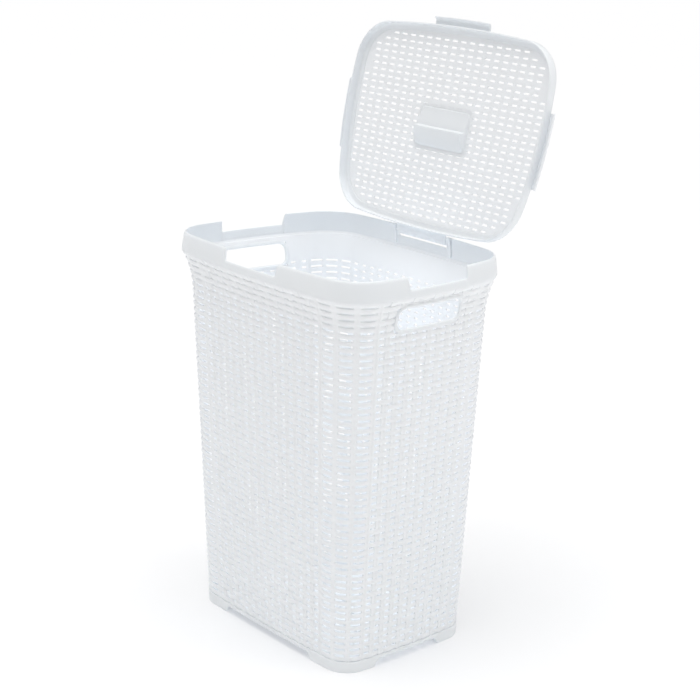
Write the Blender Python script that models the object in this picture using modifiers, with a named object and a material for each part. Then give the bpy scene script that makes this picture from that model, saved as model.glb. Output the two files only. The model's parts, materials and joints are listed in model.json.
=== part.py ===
"""Laundry hamper with a hinged lid, standing with its lid open.

Metres, +Z up, front towards -Y.  The basket is a tapered tub with rounded corners, a flared rim band and
four short feet.  The rim is lowered in a notch at the middle of each side.  The lid lies inside the rim
when it is shut: its lips pass out through three of the notches, and its hinge flap turns on two pins in
the fourth, at the back.  Both mouldings are split into named areas along their natural lines.
"""

import math

import bmesh
import bpy
from mathutils import Matrix, Vector

# ---------------------------------------------------------------- driving dimensions
RIM_TOP = 0.600                 # height of the rim at the corners
BASE_HALF = (0.1785, 0.1266)    # half size of the tub at the floor, along X and along Y
TOP_HALF = (0.2095, 0.1498)     # the same at the rim, before the flare
BASE_CORNER = 0.039             # corner radius at the floor
TOP_CORNER = 0.057              # corner radius at the rim, before the flare
BASE_BOW = 0.003                # how far the middle of each side bulges
TOP_BOW = 0.0068
NARROWING = 0.30                # the plan loses this share of its width per metre towards the back
WALL = 0.0025
GAP = 0.0003                    # clearance between neighbouring pieces

FLARE_START = 0.513             # the wall starts to curve out here
BAND_BOTTOM = 0.570             # lower edge of the smooth rim band, where it stands out furthest
FLARE = 0.0125                  # how far out the band stands
RIM_LEAN = 0.006                # how far the band leans back in at its top
RIM_LEVELS = (BAND_BOTTOM, 0.577, 0.584, 0.590, 0.595, RIM_TOP)

FOOT_HEIGHT = 0.0115
ARCH_HALF = (0.100, 0.057)      # half length of the raised arch between two feet, along X and along Y
FOOT_SLOPE = 0.010              # run of the slanted end of a foot

HANDLE_HALF = 0.060             # hand hole: half length, lower edge, upper edge, corner radius
HANDLE_CENTRE_Y = -0.006         # the holes sit a little nearer the front
HANDLE_LOW = 0.5215
HANDLE_HIGH = 0.5535
HANDLE_CORNER = 0.011
HANDLE_FRAME_LOW = 0.5128       # the wall piece round a hand hole starts here

NOTCH_FLOOR = 0.582
NOTCH_HALF = {"front": 0.061, "back": 0.0577, "left": 0.056, "right": 0.056}
LIP_HALF = {"front": 0.0585, "left": 0.053, "right": 0.053}

HINGE = Vector((0.0, 0.1612, 0.5923))
PIN_RADIUS = 0.0020
PIN_HOLE_RADIUS = 0.0021
PIN_END = 0.0638
BOSS_END = 0.0662
BOSS_THICKNESS = 0.0068
FLAP_HALF = 0.0562
OPEN_ANGLE = math.radians(103)

LID_HALF = (0.2138, 0.1506)
LID_CORNER = 0.070
LID_BOW = 0.0054
LID_CENTRE_Y = -0.0035
LID_TOP = 0.590
LID_WALL = 0.0022
SKIRT_BOTTOM = 0.574
FRAME_WIDTH = 0.0155            # flat border between the lid's edge and its panel
DOME = 0.0026                   # rise of the panel at its middle
LIP_WALL = 0.0020

GRIP_HALF = (0.056, 0.030)
GRIP_DEPTH = 0.012              # depth of the back half of the grip, and of its front half
GRIP_STEP = 0.0036
GRIP_CORNER = 0.009

SIDES = {"right": 0, "back": 90, "left": 180, "front": 270}
CORNERS = {"back_right": 0, "back_left": 90, "front_left": 180, "front_right": 270}
SEAM_ON_SIDE = 0.0015           # half a seam, as a share of a side's or a corner's half length
SEAM_ON_CORNER = 0.006

WHITE = (0.86, 0.89, 0.93)


# ---------------------------------------------------------------- scene helpers
def clear_scene():
    for obj in list(bpy.data.objects):
        bpy.data.objects.remove(obj, do_unlink=True)


def new_collection(name):
    collection = bpy.data.collections.new(name)
    bpy.context.scene.collection.children.link(collection)
    return collection


def plastic(name, tint=1.0, roughness=0.42):
    material = bpy.data.materials.new(name)
    material.use_nodes = True
    shader = material.node_tree.nodes["Principled BSDF"]
    shader.inputs["Base Color"].default_value = (WHITE[0] * tint, WHITE[1] * tint, WHITE[2] * tint, 1.0)
    shader.inputs["Roughness"].default_value = roughness
    shader.inputs["Metallic"].default_value = 0.0
    return material


def add_object(name, mesh, parent):
    """Place a piece whose mesh is given in basket coordinates, hung on the given empty."""
    obj = bpy.data.objects.new(name, mesh)
    mesh.transform(Matrix.Translation(-PARENT_PLACE[parent.name]))
    obj.parent = parent
    PARTS.objects.link(obj)
    mesh.materials.append(plastic(name + "_plastic"))
    mesh.shade_smooth()
    mesh.set_sharp_from_angle(angle=math.radians(35))
    return obj


def mesh_from(bm, name):
    mesh = bpy.data.meshes.new(name)
    bm.to_mesh(mesh)
    bm.free()
    return mesh


def thicken(obj, thickness):
    """Grow the open surface inward, away from its outer face."""
    modifier = obj.modifiers.new("wall", "SOLIDIFY")
    modifier.thickness = thickness
    modifier.offset = -1.0
    modifier.use_even_offset = True


def cut(obj, cutter):
    modifier = obj.modifiers.new("cut", "BOOLEAN")
    modifier.operation = "DIFFERENCE"
    modifier.solver = "EXACT"
    modifier.object = cutter


def add_cutter(name, mesh, parent):
    cutter = bpy.data.objects.new(name, mesh)
    mesh.transform(Matrix.Translation(-PARENT_PLACE[parent.name]))
    cutter.parent = parent
    cutter.hide_render = True
    cutter.display_type = "WIRE"
    CUTTERS.objects.link(cutter)
    return cutter


# ---------------------------------------------------------------- plan outline
def mix(low, high, share):
    return low + (high - low) * share


def flare_at(z):
    """Outward offset of the wall: a parabola up to the band, then leaning back in to the rim's top."""
    if z <= FLARE_START:
        return 0.0
    if z <= BAND_BOTTOM:
        return FLARE * ((z - FLARE_START) / (BAND_BOTTOM - FLARE_START)) ** 2
    return FLARE - RIM_LEAN * ((z - BAND_BOTTOM) / (RIM_TOP - BAND_BOTTOM)) ** 2


def grown_shape(half, corner, bow, offset):
    """Half lengths, corner radius and bow of a plan outline, grown outward by an offset."""
    return half[0] + offset, half[1] + offset, corner + offset, bow


def tub_shape(z, inset=0.0):
    """Half lengths, corner radius and bow of the tub's outer face at height z."""
    share = z / RIM_TOP
    half = (mix(BASE_HALF[0], TOP_HALF[0], share), mix(BASE_HALF[1], TOP_HALF[1], share))
    corner = mix(BASE_CORNER, TOP_CORNER, share)
    return grown_shape(half, corner, mix(BASE_BOW, TOP_BOW, share), flare_at(z) - inset)


def side_arc(half, half_across, corner, bow):
    """Radius and half angle of the wide arc of one side, which runs smoothly into the corner arcs."""
    run = half_across - corner
    radius = (run * run + 2 * corner * bow + bow * bow) / (2 * bow)
    half_angle = math.atan2(run, half - corner - (half + bow - radius))
    return radius, half_angle


def outline_point(shape, stretch, t, centre_y=0.0):
    """Point on one side or corner of the plan; t runs from -1 to 1, counter-clockwise seen from above."""
    half_x, half_y, corner, bow = shape
    radius_x, angle_x = side_arc(half_x, half_y, corner, bow)
    radius_y, angle_y = side_arc(half_y, half_x, corner, bow)
    if stretch in SIDES:
        base = math.radians(SIDES[stretch])
        faces_x = stretch in ("left", "right")
        half, radius, half_angle = (half_x, radius_x, angle_x) if faces_x else (half_y, radius_y, angle_y)
        centre = half + bow - radius
        x = centre * math.cos(base) + radius * math.cos(base + t * half_angle)
        y = centre * math.sin(base) + radius * math.sin(base + t * half_angle)
    else:
        base = math.radians(CORNERS[stretch])
        after_x_side = stretch in ("back_right", "front_left")
        first = base + (angle_x if after_x_side else angle_y)
        last = base + math.pi / 2 - (angle_y if after_x_side else angle_x)
        angle = mix(first, last, (t + 1) / 2)
        x = math.copysign(half_x - corner, math.cos(base + math.pi / 4)) + corner * math.cos(angle)
        y = math.copysign(half_y - corner, math.sin(base + math.pi / 4)) + corner * math.sin(angle)
    y += centre_y
    return x * (1 - NARROWING * y), y


def side_share(side, distance):
    """The t at which a point lies this far from the middle of a side, measured at the rim."""
    if side in ("left", "right"):
        return distance / (TOP_HALF[1] - TOP_CORNER)
    y = TOP_HALF[1] if side == "back" else -TOP_HALF[1]
    return distance / (TOP_HALF[0] - TOP_CORNER) / (1 - NARROWING * y)


def path(*stretches):
    """List of (stretch, t); each stretch is (name, first t, last t, number of steps)."""
    points = []
    for name, first, last, steps in stretches:
        for step in range(steps + 1):
            if points and step == 0:
                continue
            points.append((name, mix(first, last, step / steps)))
    return points


def full_loop(side_steps, corner_steps):
    """The whole outline, without a repeated point."""
    order = ["right", "back_right", "back", "back_left", "left", "front_left", "front", "front_right"]
    stretches = [(name, -1, 1, side_steps if name in SIDES else corner_steps) for name in order]
    return path(*stretches)[:-1]


def loft(name, rows, closed=False, cap_first=False, cap_last=False):
    """Surface through rows of points.  Rows run counter-clockwise and rise, so faces look outward."""
    bm = bmesh.new()
    verts = [[bm.verts.new(point) for point in row] for row in rows]
    count = len(rows[0])
    for low, high in zip(verts, verts[1:]):
        for i in range(count if closed else count - 1):
            j = (i + 1) % count
            bm.faces.new((low[i], low[j], high[j], high[i]))
    if cap_first:
        bm.faces.new(reversed(verts[0]))
    if cap_last:
        bm.faces.new(verts[-1])
    return mesh_from(bm, name)


def tub_wall(name, route, levels, thickness=WALL):
    """Closed piece of tub wall along a route, with level edges and the same thickness at every height."""
    bm = bmesh.new()
    rings = []
    for z in levels:
        outer = [outline_point(tub_shape(z), stretch, t) for stretch, t in route]
        inner = [outline_point(tub_shape(z, thickness), stretch, t) for stretch, t in route]
        rings.append([bm.verts.new((x, y, z)) for x, y in outer + inner[::-1]])
    for low, high in zip(rings, rings[1:]):
        for i in range(len(low)):
            j = (i + 1) % len(low)
            bm.faces.new((low[i], low[j], high[j], high[i]))
    for ring in (rings[0], rings[-1]):
        for i in range(len(route) - 1):
            bm.faces.new((ring[i], ring[i + 1], ring[-2 - i], ring[-1 - i]))
    bmesh.ops.recalc_face_normals(bm, faces=bm.faces)
    return add_object(name, mesh_from(bm, name), BASKET)


def levels_between(low, high):
    """Heights from low to high: only the ends where the wall is straight, closely spaced in the flare."""
    count = 6
    curved_from = max(low, FLARE_START)
    inner = []
    if high > curved_from:
        inner = [mix(curved_from, high, step / count) for step in range(count)]
    return [low] + [z for z in inner if z > low + GAP] + [high]


# ---------------------------------------------------------------- basket
def make_floor():
    """Cross-shaped plate whose four missing corners are the hollow feet."""
    low = FOOT_HEIGHT + GAP
    shape = tub_shape(low, WALL + 2 * GAP)
    bm = bmesh.new()
    verts = []
    for before, after in (("right", "back"), ("back", "left"), ("left", "front"), ("front", "right")):
        share = (arch_half(before) - GAP) / half_run(before)
        points = [outline_point(shape, name, t) for name, t in path((before, -share, share, 4))]
        turn = outline_point(shape, after, -(arch_half(after) - GAP) / half_run(after))
        inner = (points[-1][0], turn[1]) if before in ("front", "back") else (turn[0], points[-1][1])
        verts += [bm.verts.new((x, y, low)) for x, y in points + [inner]]
    bm.faces.new(reversed(verts))
    thicken(add_object("floor", mesh_from(bm, "floor"), BASKET), WALL)


def foot_ring(corner, before, after, z, slope, inset):
    """Points round one foot at height z: the tub's outline outside, two straight slanted ends inside."""
    share_before = (arch_half(before) + slope + inset) / half_run(before)
    share_after = (arch_half(after) + slope + inset) / half_run(after)
    route = path((before, share_before, 1, 3), (corner, -1, 1, 8), (after, -1, -share_after, 3))
    points = [outline_point(tub_shape(z, inset), name, t) for name, t in route]
    first, last = points[0], points[-1]
    inner = (first[0], last[1]) if before in ("front", "back") else (last[0], first[1])
    return [(x, y, z) for x, y in points + [inner]]


def make_foot(corner, before, after):
    """Hollow foot, open at the top."""
    name = "foot_" + corner
    rings = [foot_ring(corner, before, after, 0.0, FOOT_SLOPE, 0.0),
             foot_ring(corner, before, after, FOOT_HEIGHT, GAP, 0.0),
             foot_ring(corner, before, after, FOOT_HEIGHT, GAP, WALL),
             foot_ring(corner, before, after, WALL, FOOT_SLOPE, WALL)]
    mesh = loft(name, rings, closed=True, cap_first=True, cap_last=True)
    add_object(name, mesh, BASKET)


def arch_half(side):
    return ARCH_HALF[1] if side in ("left", "right") else ARCH_HALF[0]


def half_run(side):
    """Half length of a side's wide arc at the floor."""
    return (BASE_HALF[1] if side in ("left", "right") else BASE_HALF[0]) - BASE_CORNER


def make_panel(side, top):
    route = path((side, -1 + SEAM_ON_SIDE, 1 - SEAM_ON_SIDE, 8))
    tub_wall("panel_" + side, route, levels_between(FOOT_HEIGHT + GAP, top))


def make_corner(corner):
    route = path((corner, -1 + SEAM_ON_CORNER, 1 - SEAM_ON_CORNER, 10))
    tub_wall("corner_" + corner, route, levels_between(FOOT_HEIGHT + GAP, BAND_BOTTOM - GAP))


def make_handle_frame(side):
    """Wall piece below the rim band with the rounded hand hole through it."""
    route = path((side, -1 + SEAM_ON_SIDE, 1 - SEAM_ON_SIDE, 8))
    frame = tub_wall("handle_frame_" + side, route, levels_between(HANDLE_FRAME_LOW, BAND_BOTTOM - GAP))
    reach = TOP_HALF[0] if side == "right" else -TOP_HALF[0]
    size = (0.080, 2 * HANDLE_HALF, HANDLE_HIGH - HANDLE_LOW)
    place = (reach, HANDLE_CENTRE_Y, (HANDLE_HIGH + HANDLE_LOW) / 2)
    cut(frame, rounded_box_cutter("hand_hole_" + side, size, place, HANDLE_CORNER, 0, BASKET))


def rounded_box_cutter(name, size, place, radius, along, parent):
    """Box whose four edges parallel to one axis (0, 1 or 2) are rounded."""
    bm = bmesh.new()
    bmesh.ops.create_cube(bm, size=1.0)
    bmesh.ops.scale(bm, vec=size, verts=bm.verts)
    edges = [edge for edge in bm.edges if runs_along(edge, along)]
    bmesh.ops.bevel(bm, geom=edges, offset=radius, segments=5, profile=0.5, affect="EDGES")
    bmesh.ops.translate(bm, vec=place, verts=bm.verts)
    return add_cutter(name, mesh_from(bm, name), parent)


def runs_along(edge, axis):
    run = edge.verts[1].co - edge.verts[0].co
    return abs(run[axis]) > 0.99 * run.length


def make_rim_rail(side):
    """Low stretch of the rim under one notch."""
    share = side_share(side, NOTCH_HALF[side])
    tub_wall("rim_rail_" + side, path((side, -share, share, 6)), [BAND_BOTTOM, 0.576, NOTCH_FLOOR])


def make_rim_corner(corner, before, after):
    """Raised rim from the end of one notch round a corner to the start of the next."""
    share_before = side_share(before, rim_start(before))
    share_after = side_share(after, rim_start(after))
    route = path((before, share_before, 1, 3), (corner, -1, 1, 10), (after, -1, -share_after, 3))
    tub_wall("rim_corner_" + corner, route, RIM_LEVELS)


def rim_start(side):
    """Distance from the middle of a side to where its raised rim starts; a hinge boss comes first at the back."""
    return (BOSS_END if side == "back" else NOTCH_HALF[side]) + GAP


def make_hinge_boss(side, direction):
    """Thick end of the back notch, with the hole that a lid pin turns in."""
    first = side_share("back", NOTCH_HALF["back"] + GAP) * direction
    last = side_share("back", BOSS_END) * direction
    route = path(("back", min(first, last), max(first, last), 2))
    boss = tub_wall("hinge_boss_" + side, route, RIM_LEVELS, BOSS_THICKNESS)
    middle = -direction * (NOTCH_HALF["back"] + BOSS_END) / 2
    bm = bmesh.new()
    add_rod(bm, PIN_HOLE_RADIUS, middle - 0.012, middle + 0.012)
    cut(boss, add_cutter("pin_hole_" + side, mesh_from(bm, "pin_hole_" + side), BASKET))


def add_rod(bm, radius, x_first, x_last):
    """Closed cylinder on the hinge axis."""
    turn = Matrix.Rotation(math.pi / 2, 4, "Y")
    place = Matrix.Translation(((x_first + x_last) / 2, HINGE.y, HINGE.z))
    bmesh.ops.create_cone(bm, cap_ends=True, segments=20, radius1=radius, radius2=radius,
                          depth=x_last - x_first, matrix=place @ turn)


# ---------------------------------------------------------------- lid, given in its shut position
def lid_point(name, t, inset):
    shape = grown_shape(LID_HALF, LID_CORNER, LID_BOW, -inset)
    return outline_point(shape, name, t, LID_CENTRE_Y)


def make_lid_frame():
    """Flat border with a skirt hanging from its edge."""
    profile = [(0.0004, SKIRT_BOTTOM), (0.0, 0.5865), (0.0010, 0.5889), (0.0035, LID_TOP),
               (FRAME_WIDTH, LID_TOP)]
    route = full_loop(8, 8)
    rows = [[(*lid_point(name, t, inset), z) for name, t in route] for inset, z in profile]
    frame = add_object("lid_frame", loft("lid_frame", rows, closed=True), LID)
    thicken(frame, LID_WALL)


def make_lid_panel():
    """Slightly domed panel inside the frame, open where the grip sits."""
    route = full_loop(6, 6)
    edge = [Vector(lid_point(name, t, FRAME_WIDTH + GAP)) for name, t in route]
    centre = Vector((0.0, LID_CENTRE_Y))
    rows = []
    for share in (1.0, 0.85, 0.65, 0.4, 0.15):
        height = LID_TOP + DOME * (1 - share * share)
        rows.append([(*(centre + (point - centre) * share), height) for point in edge])
    panel = add_object("lid_panel", loft("lid_panel", rows, closed=True, cap_last=True), LID)
    thicken(panel, LID_WALL)
    size = (2 * GRIP_HALF[0], 2 * GRIP_HALF[1], 0.040)
    place = (0.0, LID_CENTRE_Y, LID_TOP)
    cut(panel, rounded_box_cutter("grip_hole", size, place, GRIP_CORNER, 2, LID))


def grip_block(name, inset, top):
    """Closed block with a shallow front half and a deep back half, its four outer corners rounded."""
    half_x = GRIP_HALF[0] - GAP - inset
    half_y = GRIP_HALF[1] - GAP - inset
    deep = LID_TOP + DOME - GRIP_DEPTH + inset
    shallow = LID_TOP + DOME - GRIP_STEP + inset
    profile = [(-half_y, top), (-half_y, shallow), (inset, shallow), (inset, deep), (half_y, deep), (half_y, top)]
    bm = bmesh.new()
    extrude_along_x(bm, [(y + LID_CENTRE_Y, z) for y, z in profile], half_x)
    corners = [edge for edge in bm.edges if runs_along(edge, 2) and
               abs(abs(edge.verts[0].co.y - LID_CENTRE_Y) - half_y) < GAP]
    bmesh.ops.bevel(bm, geom=corners, offset=GRIP_CORNER - inset, segments=5, profile=0.5, affect="EDGES")
    return mesh_from(bm, name)


def extrude_along_x(bm, profile, half_length):
    """Closed prism with the given (y, z) profile, reaching the same distance to both sides."""
    face = bm.faces.new([bm.verts.new((-half_length, y, z)) for y, z in profile])
    grown = bmesh.ops.extrude_face_region(bm, geom=[face])["geom"]
    moved = [item for item in grown if isinstance(item, bmesh.types.BMVert)]
    bmesh.ops.translate(bm, vec=(2 * half_length, 0, 0), verts=moved)
    bmesh.ops.recalc_face_normals(bm, faces=bm.faces)


def make_lid_grip():
    """Finger recess: shallow in its front half, deep towards the hinge."""
    top = LID_TOP + DOME
    grip = add_object("lid_grip", grip_block("lid_grip", 0.0, top), LID)
    cut(grip, add_cutter("grip_hollow", grip_block("grip_hollow", LID_WALL, top + 0.010), LID))


def make_lip(side):
    """Curved lip that passes out through a notch and hangs outside the band."""
    profile = [(0.0148, 0.5812), (0.0146, 0.5838), (0.0130, 0.5868), (0.0094, 0.5888), (0.0034, 0.5895)]
    share = side_share(side, LIP_HALF[side])
    rows = []
    for offset, z in profile:
        shape = grown_shape(TOP_HALF, TOP_CORNER, TOP_BOW, offset)
        rows.append([(*outline_point(shape, name, t), z) for name, t in path((side, -share, share, 8))])
    name = "lip_" + side
    thicken(add_object(name, loft(name, rows), LID), LIP_WALL)


def make_hinge_flap():
    """Flap between the lid's back edge and the pins, with a short tail behind them."""
    profile = [(0.1529, 0.5876), (0.1560, 0.5877), (0.1612, 0.5890), (0.1645, 0.5905), (0.1672, 0.5931),
               (0.1672, 0.5956), (0.1640, 0.5958), (0.1595, 0.5950), (0.1565, 0.5912), (0.1529, 0.5900)]
    bm = bmesh.new()
    extrude_along_x(bm, profile, FLAP_HALF)
    add_object("hinge_flap", mesh_from(bm, "hinge_flap"), LID)


def make_hinge_pin(side, direction):
    bm = bmesh.new()
    ends = sorted((direction * (FLAP_HALF + GAP), direction * PIN_END))
    add_rod(bm, PIN_RADIUS, *ends)
    name = "hinge_pin_" + side
    add_object(name, mesh_from(bm, name), LID)


# ---------------------------------------------------------------- build
def add_empty(name, location, parent=None):
    empty = bpy.data.objects.new(name, None)
    empty.location = location
    empty.parent = parent
    PARTS.objects.link(empty)
    return empty


def make_basket():
    make_floor()
    for corner, before, after in (("back_right", "right", "back"), ("back_left", "back", "left"),
                                  ("front_left", "left", "front"), ("front_right", "front", "right")):
        make_foot(corner, before, after)
        make_corner(corner)
        make_rim_corner(corner, before, after)
    for side in ("front", "back"):
        make_panel(side, BAND_BOTTOM - GAP)
    for side in ("left", "right"):
        make_panel(side, HANDLE_FRAME_LOW - GAP)
        make_handle_frame(side)
    for side in ("front", "back", "left", "right"):
        make_rim_rail(side)
    make_hinge_boss("right", -1)
    make_hinge_boss("left", 1)


def make_lid():
    make_lid_frame()
    make_lid_panel()
    make_lid_grip()
    for side in ("front", "left", "right"):
        make_lip(side)
    make_hinge_flap()
    make_hinge_pin("left", -1)
    make_hinge_pin("right", 1)


def centre_of_depth():
    """Middle of the whole object along Y, lid open."""
    bpy.context.view_layer.update()
    graph = bpy.context.evaluated_depsgraph_get()
    ys = []
    for obj in PARTS.objects:
        if obj.type == "MESH":
            shown = obj.evaluated_get(graph)
            ys += [(shown.matrix_world @ vert.co).y for vert in shown.data.vertices]
    return (min(ys) + max(ys)) / 2


clear_scene()
PARTS = new_collection("laundry_hamper")
CUTTERS = new_collection("cutters")
BASKET = add_empty("basket", (0.0, 0.0, 0.0))
LID = add_empty("lid_on_hinge_axis", HINGE, BASKET)
PARENT_PLACE = {BASKET.name: Vector((0.0, 0.0, 0.0)), LID.name: HINGE}
make_basket()
make_lid()
LID.rotation_euler = (-OPEN_ANGLE, 0.0, 0.0)
BASKET.location.y = -centre_of_depth()
print("hinge axis at y", round(HINGE.y + BASKET.location.y, 5), "z", HINGE.z)
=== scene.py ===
"""Visual model of a white wicker-effect laundry hamper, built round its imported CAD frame.

The basket's wall is one woven skin: level strands pass over and under upright ribs, with a slot through the
wall at every crossing of two gaps.  The rim band, the base and the lid's border are smooth swept bands.
All lengths are in metres.
"""

import json
import math

import bpy
import numpy as np
from mathutils import Matrix, Vector


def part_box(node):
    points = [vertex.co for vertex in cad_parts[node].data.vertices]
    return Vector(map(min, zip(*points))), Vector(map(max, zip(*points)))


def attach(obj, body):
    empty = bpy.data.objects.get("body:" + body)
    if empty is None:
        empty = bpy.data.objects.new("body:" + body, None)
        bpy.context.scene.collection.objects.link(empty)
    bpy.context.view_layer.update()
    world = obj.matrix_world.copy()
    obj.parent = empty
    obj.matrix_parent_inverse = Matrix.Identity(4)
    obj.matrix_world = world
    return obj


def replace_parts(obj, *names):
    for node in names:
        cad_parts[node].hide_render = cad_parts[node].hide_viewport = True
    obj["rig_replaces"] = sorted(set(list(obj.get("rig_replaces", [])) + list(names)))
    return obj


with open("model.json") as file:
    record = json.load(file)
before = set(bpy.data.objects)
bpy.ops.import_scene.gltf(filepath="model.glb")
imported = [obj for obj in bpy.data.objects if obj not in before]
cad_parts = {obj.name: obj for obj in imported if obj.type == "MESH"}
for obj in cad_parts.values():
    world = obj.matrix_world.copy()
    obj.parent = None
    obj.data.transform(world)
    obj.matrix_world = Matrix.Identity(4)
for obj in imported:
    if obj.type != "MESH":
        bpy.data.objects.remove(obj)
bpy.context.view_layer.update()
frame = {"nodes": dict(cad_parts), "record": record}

# ---- what the frame says
hinge_joint = frame["record"]["behaviour"]["joints"][0]
HINGE = np.array(hinge_joint["pos_m"])
OPEN_ANGLE = math.radians(hinge_joint["range_deg"][1])
RIM_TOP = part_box("rim_corner_front_left")[1][2]
BAND_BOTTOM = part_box("rim_corner_front_left")[0][2]
NOTCH_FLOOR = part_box("rim_rail_front")[1][2]
ARCH_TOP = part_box("panel_front")[0][2]
FLOOR_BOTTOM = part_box("floor")[0][2]
FLOOR_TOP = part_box("floor")[1][2]
HINGE_FROM_CENTRE = 0.1612
CENTRE_Y = HINGE[1] - HINGE_FROM_CENTRE  # the centre line that the tub's plan is measured from

# ---- plan of the tub, as the CAD has it
BASE_HALF = (0.1785, 0.1266)
TOP_HALF = (0.2095, 0.1498)
BASE_CORNER = 0.039
TOP_CORNER = 0.057
BASE_BOW = 0.003  # how far the middle of each side stands out past its ends
TOP_BOW = 0.0068
NARROWING = 0.30  # share by which the plan narrows per metre towards the back
FLARE_START = 0.513  # height where the wall starts to flare out under the rim
FLARE = 0.0125
RIM_LEAN = 0.006  # how far the rim band leans back in towards its top
REFERENCE_HEIGHT = 0.44  # lengths along the wall are measured at this height

# the sides and corners in order round the tub, and the angle from which each one's directions are counted
STRETCHES = ("front", "front_right", "right", "back_right", "back", "back_left", "left", "front_left")
FACING = {"right": 0.0, "back": 0.5 * math.pi, "left": math.pi, "front": 1.5 * math.pi,
          "back_right": 0.0, "back_left": 0.5 * math.pi, "front_left": math.pi, "front_right": 1.5 * math.pi}

# ---- weave
ROW_PITCH = 0.009915
FIRST_ROW = 0.0022  # height of the middle of row 0
LOWEST_ROW = 2
HIGHEST_ROW = 57
TOP_SLOT = 0.525  # no slots above this height
STRAND_HALF = 0.00336  # half height of a strand
SLOT_HALF = 0.0042  # half length of a slot on the flat sides
CORNER_SLOT_HALF = 0.0100
CORNER_SLOTS = 3
SLOT_CHAMFER = 0.0012  # how much of each slot's corners is cut off
WAVE = 0.0010  # how far strands and ribs swing in and out
STRAND_CROWN = 0.0011
RIB_CROWN = 0.0009
STAKE = 0.0024  # half width of each of the two stakes that make a rib
RIB_EDGE = 0.0042  # last grid line beside a rib
GROOVE = -0.0012  # bottom of the gaps between strands
CREST = -0.0003  # the highest point of the weave, measured from the CAD's outer face
INNER_FACE = -0.0043
INNER_LEDGE = 0.564  # above this the inner face steps back to the rim's thickness
WALL_BEHIND_RIM = -0.0027
RIM_INNER_FACE = -0.0029

# for each side: how many slots in a row, their spacing, and how far their middle lies past the side's middle
SIDE_WEAVE = {"front": (15, 0.0187, 0.0), "right": (10, 0.0191, -0.002),
              "back": (16, 0.0182, 0.0), "left": (10, 0.0191, 0.002)}

# ---- hand holes
HAND_HALF = 0.060
HAND_LOW = 0.5215
HAND_HIGH = 0.5535
HAND_MIDDLE = (HAND_LOW + HAND_HIGH) / 2
HAND_HALF_HEIGHT = (HAND_HIGH - HAND_LOW) / 2
HAND_CENTRE_Y = -0.006
HAND_CORNER = 0.011
HAND_PLAIN = 0.0078  # no slots this near to a hand hole
HAND_CUT = 0.0030  # the weave stops this far from a hand hole, under its border

# ---- rim, base and floor
NOTCH = {"front": 0.0623, "back": 0.0577, "left": 0.0573, "right": 0.0573}  # half lengths
NOTCH_SLOPE = 0.0040
SIDE_REACH = 0.20  # no notch or arch reaches further than this from its side's middle
ARCH = {"front": 0.106, "back": 0.102, "left": 0.062, "right": 0.062}  # half lengths
ARCH_SLOPE = 0.013
FOOT_HEIGHT = 0.0115
FOOT_START = {"front": 0.100, "back": 0.100, "left": 0.057, "right": 0.057}  # from each side's middle
FOOT_SLOPE = 0.010
BAND_SAMPLE = 0.0005  # spacing at which the steps in the rim and the base are looked for
DRAIN_PITCH = (0.0250, 0.0190)
DRAIN_HALF = (0.0080, 0.0020)
DRAIN_COUNT = (6, 5)  # drain slots on each side of the middle, along X and Y
FLOOR_REACH = (0.22, 0.17)  # more than half the floor's size, cut back to its outline
FLOOR_INSET = 0.0032

# ---- lid, drawn shut
LID_HALF = (0.2138, 0.1506)
LID_CORNER = 0.070
LID_BOW = 0.0054
LID_CENTRE_Y = -0.0035
LID_TOP = 0.590
FRAME_WIDTH = 0.0118
DOME = 0.0026
DOME_HALF = (0.20, 0.14)
SHEET_THICKNESS = 0.0029
SHEET_INSET = 0.0075  # the sheet reaches this near to the lid's edge, under the border
HOLE_PITCH = 0.01869
HOLE_NARROWING = 0.337
HOLE_LEVEL_Y = 0.0055  # where along the lid's depth the pitch is exact
HOLE_HALF = (0.0060, 0.0014)
HOLE_CHAMFER = 0.0011
HOLE_ROW_PITCH = 0.010
FIRST_HOLE_ROW = 0.1323
HOLE_ROWS = 28
HOLE_COLUMNS = 11  # on each side of the middle
STAKE_HALF = 0.0033
LID_STRAND_HALF = HOLE_ROW_PITCH / 2 - HOLE_HALF[1]
LID_STRAND_CROWN = 0.0006
LID_STAKE_CROWN = 0.0005
LID_WAVE = 0.0004
LID_GROOVE = -0.0009
LID_RELIEF_DROP = 0.0013  # keeps the highest strands level with the border
GRIP_HALF = (0.0558, 0.0298)
GRIP_DEPTH = 0.012
GRIP_STEP = 0.0036
GRIP_CORNER = 0.009
GRIP_BRIM = 0.0062  # flat rim round the grip, over the sheet
GRIP_WALL = 0.0026  # width over which the grip's sides slope down
LIP_HALF = {"front": 0.0562, "left": 0.0510, "right": 0.0510}
LIP_BEND = 0.003  # radius of the lips' lower corners
FLAP_HALF = 0.0562

# ---- looks, camera and light
DULL_WHITE = (0.912, 0.938, 0.966)
CLEAR_WHITE = (0.927, 0.951, 0.977)
CAMERA_PLACE = (2.0796, -1.6929, 1.1865)
CAMERA_YAW = -0.88999
CAMERA_PITCH = -0.27536
CAMERA_ROLL = 0.02255
CAMERA_LENS = 94.17
WORLD_STRENGTH = 0.40
GROUND_REACH = 60.0
GROUND_GLOW = 0.13
LIGHT_BOUNCES = 16
DIFFUSE_BOUNCES = 12


def mix(low, high, share):
    """Value between low and high at a share of the way."""
    return low + (high - low) * share


def smooth_step(x):
    """Eased step from 0 to 1 as x goes from 0 to 1."""
    x = np.clip(x, 0.0, 1.0)
    return x * x * (3 - 2 * x)


def round_crown(x):
    """Height of a half round of radius 1 at a distance x from its middle."""
    return np.sqrt(np.clip(1 - x ** 2, 0, 1))


def stacked(x, y, z):
    """Points from their coordinates, broadcast together."""
    return np.stack(np.broadcast_arrays(x, y, z), axis=-1)


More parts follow.
